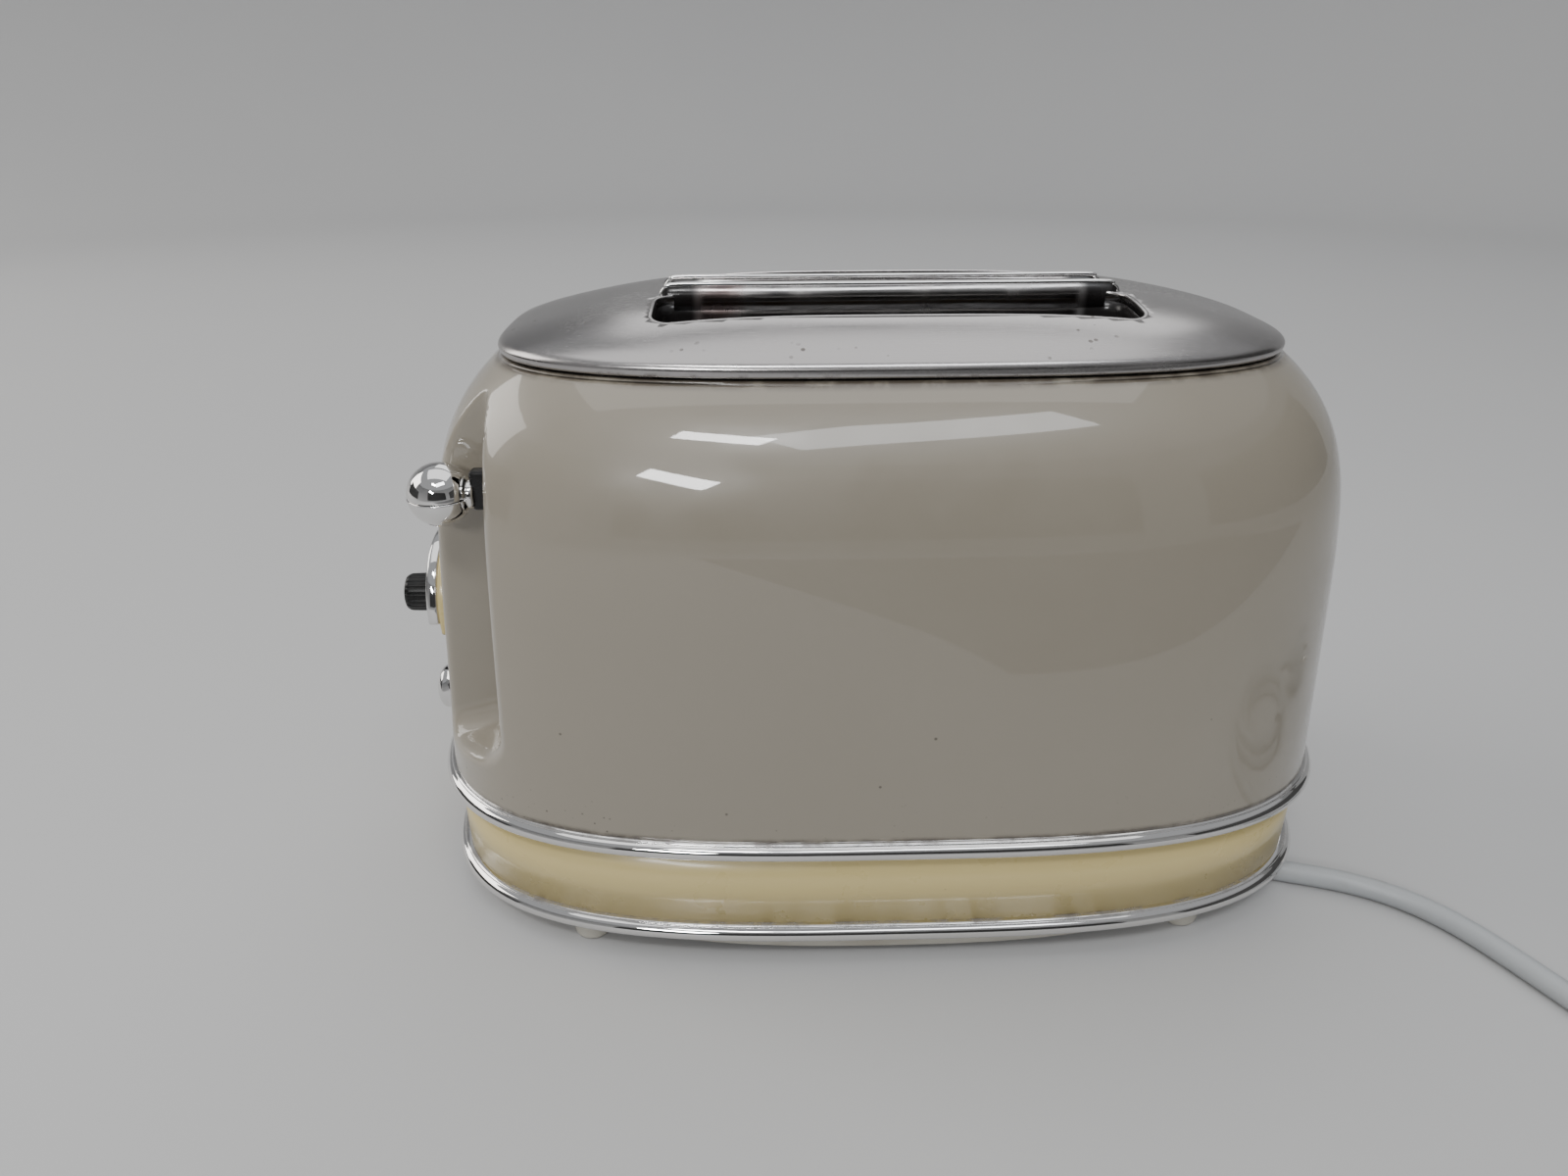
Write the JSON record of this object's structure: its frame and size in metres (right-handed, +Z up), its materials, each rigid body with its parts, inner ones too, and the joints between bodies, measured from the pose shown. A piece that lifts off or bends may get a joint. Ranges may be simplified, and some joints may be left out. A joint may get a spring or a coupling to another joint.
{
  "type": "pop-up toaster",
  "caption": "Retro pop-up toaster with a flared oval body, domed steel lid, long bread slots, ball lever, half-round dial, push buttons, crumb tray and mains lead.",
  "frame": {"origin": "middle of the toaster's length and width, on the table it stands on, with the mains lead left out", "axes": "+X along the bread slots away from the lever end, +Y to the back, +Z up"},
  "size_m": [0.4733, 0.241, 0.1905],
  "materials": {
    "shell_paint": "gloss",
    "lid_steel": "brushed",
    "chrome_trim": "polished",
    "cream_plastic": "gloss",
    "base_plastic": "satin",
    "black_plastic": "satin",
    "inner_steel": "satin",
    "bright_alloy": "satin",
    "mica": "matt",
    "coil_copper": "satin",
    "board_green": "satin",
    "lead_white": "satin",
    "pin_metal": "polished"
  },
  "bodies": {
    "toaster": {"top_cover": "lid_steel", "slot_flange_front": "chrome_trim", "slot_flange_rear": "chrome_trim", "body_shell": "shell_paint", "lever_channel": "shell_paint", "upper_trim_ring": "chrome_trim", "base_band": "cream_plastic", "lower_trim_ring": "chrome_trim", "base_tray": "base_plastic", "foot_front_left": "base_plastic", "foot_front_right": "base_plastic", "foot_rear_left": "base_plastic", "foot_rear_right": "base_plastic", "base_screw_front": "inner_steel", "base_screw_rear": "inner_steel", "chassis_left": "inner_steel", "chassis_right": "inner_steel", "reflector_front": "bright_alloy", "reflector_rear": "bright_alloy", "heater_front": "mica", "heater_centre": "mica", "heater_rear": "mica", "rod_front": "inner_steel", "rod_rear": "inner_steel", "return_spring": "inner_steel", "latch_magnet": "coil_copper", "control_board": "board_green", "dial_plate": "cream_plastic", "dial_bezel": "chrome_trim", "potentiometer": "black_plastic", "button_switches": "black_plastic", "terminal_block": "lead_white", "cord_gland": "lead_white", "cord_lead": "lead_white", "cord_coil": "lead_white", "cord_tail": "lead_white", "cord_tie": "black_plastic", "plug_body": "lead_white", "plug_pin_left": "pin_metal", "plug_pin_right": "pin_metal"},
    "lever": {"carriage": "inner_steel", "lever_stem": "black_plastic", "lever_collar": "chrome_trim", "ball_upper": "chrome_trim", "ball_lower": "chrome_trim", "rack_front": "inner_steel", "rack_rear": "inner_steel", "latch_keeper": "inner_steel"},
    "dial": {"dial_knob": "black_plastic", "dial_shaft": "inner_steel"},
    "crumb_drawer": {"crumb_tray": "bright_alloy", "crumb_tray_front": "cream_plastic", "crumb_tray_pull": "chrome_trim"},
    "guide_front_outer_body": {"guide_front_outer": "inner_steel"},
    "guide_front_inner_body": {"guide_front_inner": "inner_steel"},
    "guide_rear_inner_body": {"guide_rear_inner": "inner_steel"},
    "guide_rear_outer_body": {"guide_rear_outer": "inner_steel"},
    "button_left_body": {"button_left": "chrome_trim"},
    "button_centre_body": {"button_centre": "chrome_trim"},
    "button_right_body": {"button_right": "chrome_trim"}
  },
  "joints": [
    {"name": "lever_slide", "type": "slide", "parent": "toaster", "child": "lever", "axis": [0, 0, 1], "range_m": [-0.052, 0.01], "stiffness_N_per_m": 200, "springref_m": 0.006, "deforming": ["return_spring"]},
    {"name": "guide_front_outer_slide", "type": "slide", "parent": "toaster", "child": "guide_front_outer_body", "axis": [0, 1, 0], "range_m": [-0.001, 0.0042]},
    {"name": "guide_front_inner_slide", "type": "slide", "parent": "toaster", "child": "guide_front_inner_body", "axis": [0, -1, 0], "range_m": [-0.001, 0.0042]},
    {"name": "guide_rear_inner_slide", "type": "slide", "parent": "toaster", "child": "guide_rear_inner_body", "axis": [0, 1, 0], "range_m": [-0.001, 0.0042]},
    {"name": "guide_rear_outer_slide", "type": "slide", "parent": "toaster", "child": "guide_rear_outer_body", "axis": [0, -1, 0], "range_m": [-0.001, 0.0042]},
    {"name": "dial_turn", "type": "hinge", "parent": "toaster", "child": "dial", "pos_m": [-0.1412, 0, 0.087], "axis": [-1, 0, 0], "range_deg": [-135, 135]},
    {"name": "button_left_press", "type": "slide", "parent": "toaster", "child": "button_left_body", "axis": [1, 0, 0], "range_m": [0, 0.0025], "stiffness_N_per_m": 600, "springref_m": -0.002},
    {"name": "button_centre_press", "type": "slide", "parent": "toaster", "child": "button_centre_body", "axis": [1, 0, 0], "range_m": [0, 0.0025], "stiffness_N_per_m": 600, "springref_m": -0.002},
    {"name": "button_right_press", "type": "slide", "parent": "toaster", "child": "button_right_body", "axis": [1, 0, 0], "range_m": [0, 0.0025], "stiffness_N_per_m": 600, "springref_m": -0.002},
    {"name": "tray_slide", "type": "slide", "parent": "toaster", "child": "crumb_drawer", "axis": [0, 1, 0], "range_m": [0, 0.085]}
  ],
  "couplings": [
    {"joint": "guide_front_outer_slide", "follows": "lever_slide", "ratio": -0.07692},
    {"joint": "guide_front_inner_slide", "follows": "lever_slide", "ratio": -0.07692},
    {"joint": "guide_rear_inner_slide", "follows": "lever_slide", "ratio": -0.07692},
    {"joint": "guide_rear_outer_slide", "follows": "lever_slide", "ratio": -0.07692}
  ]
}
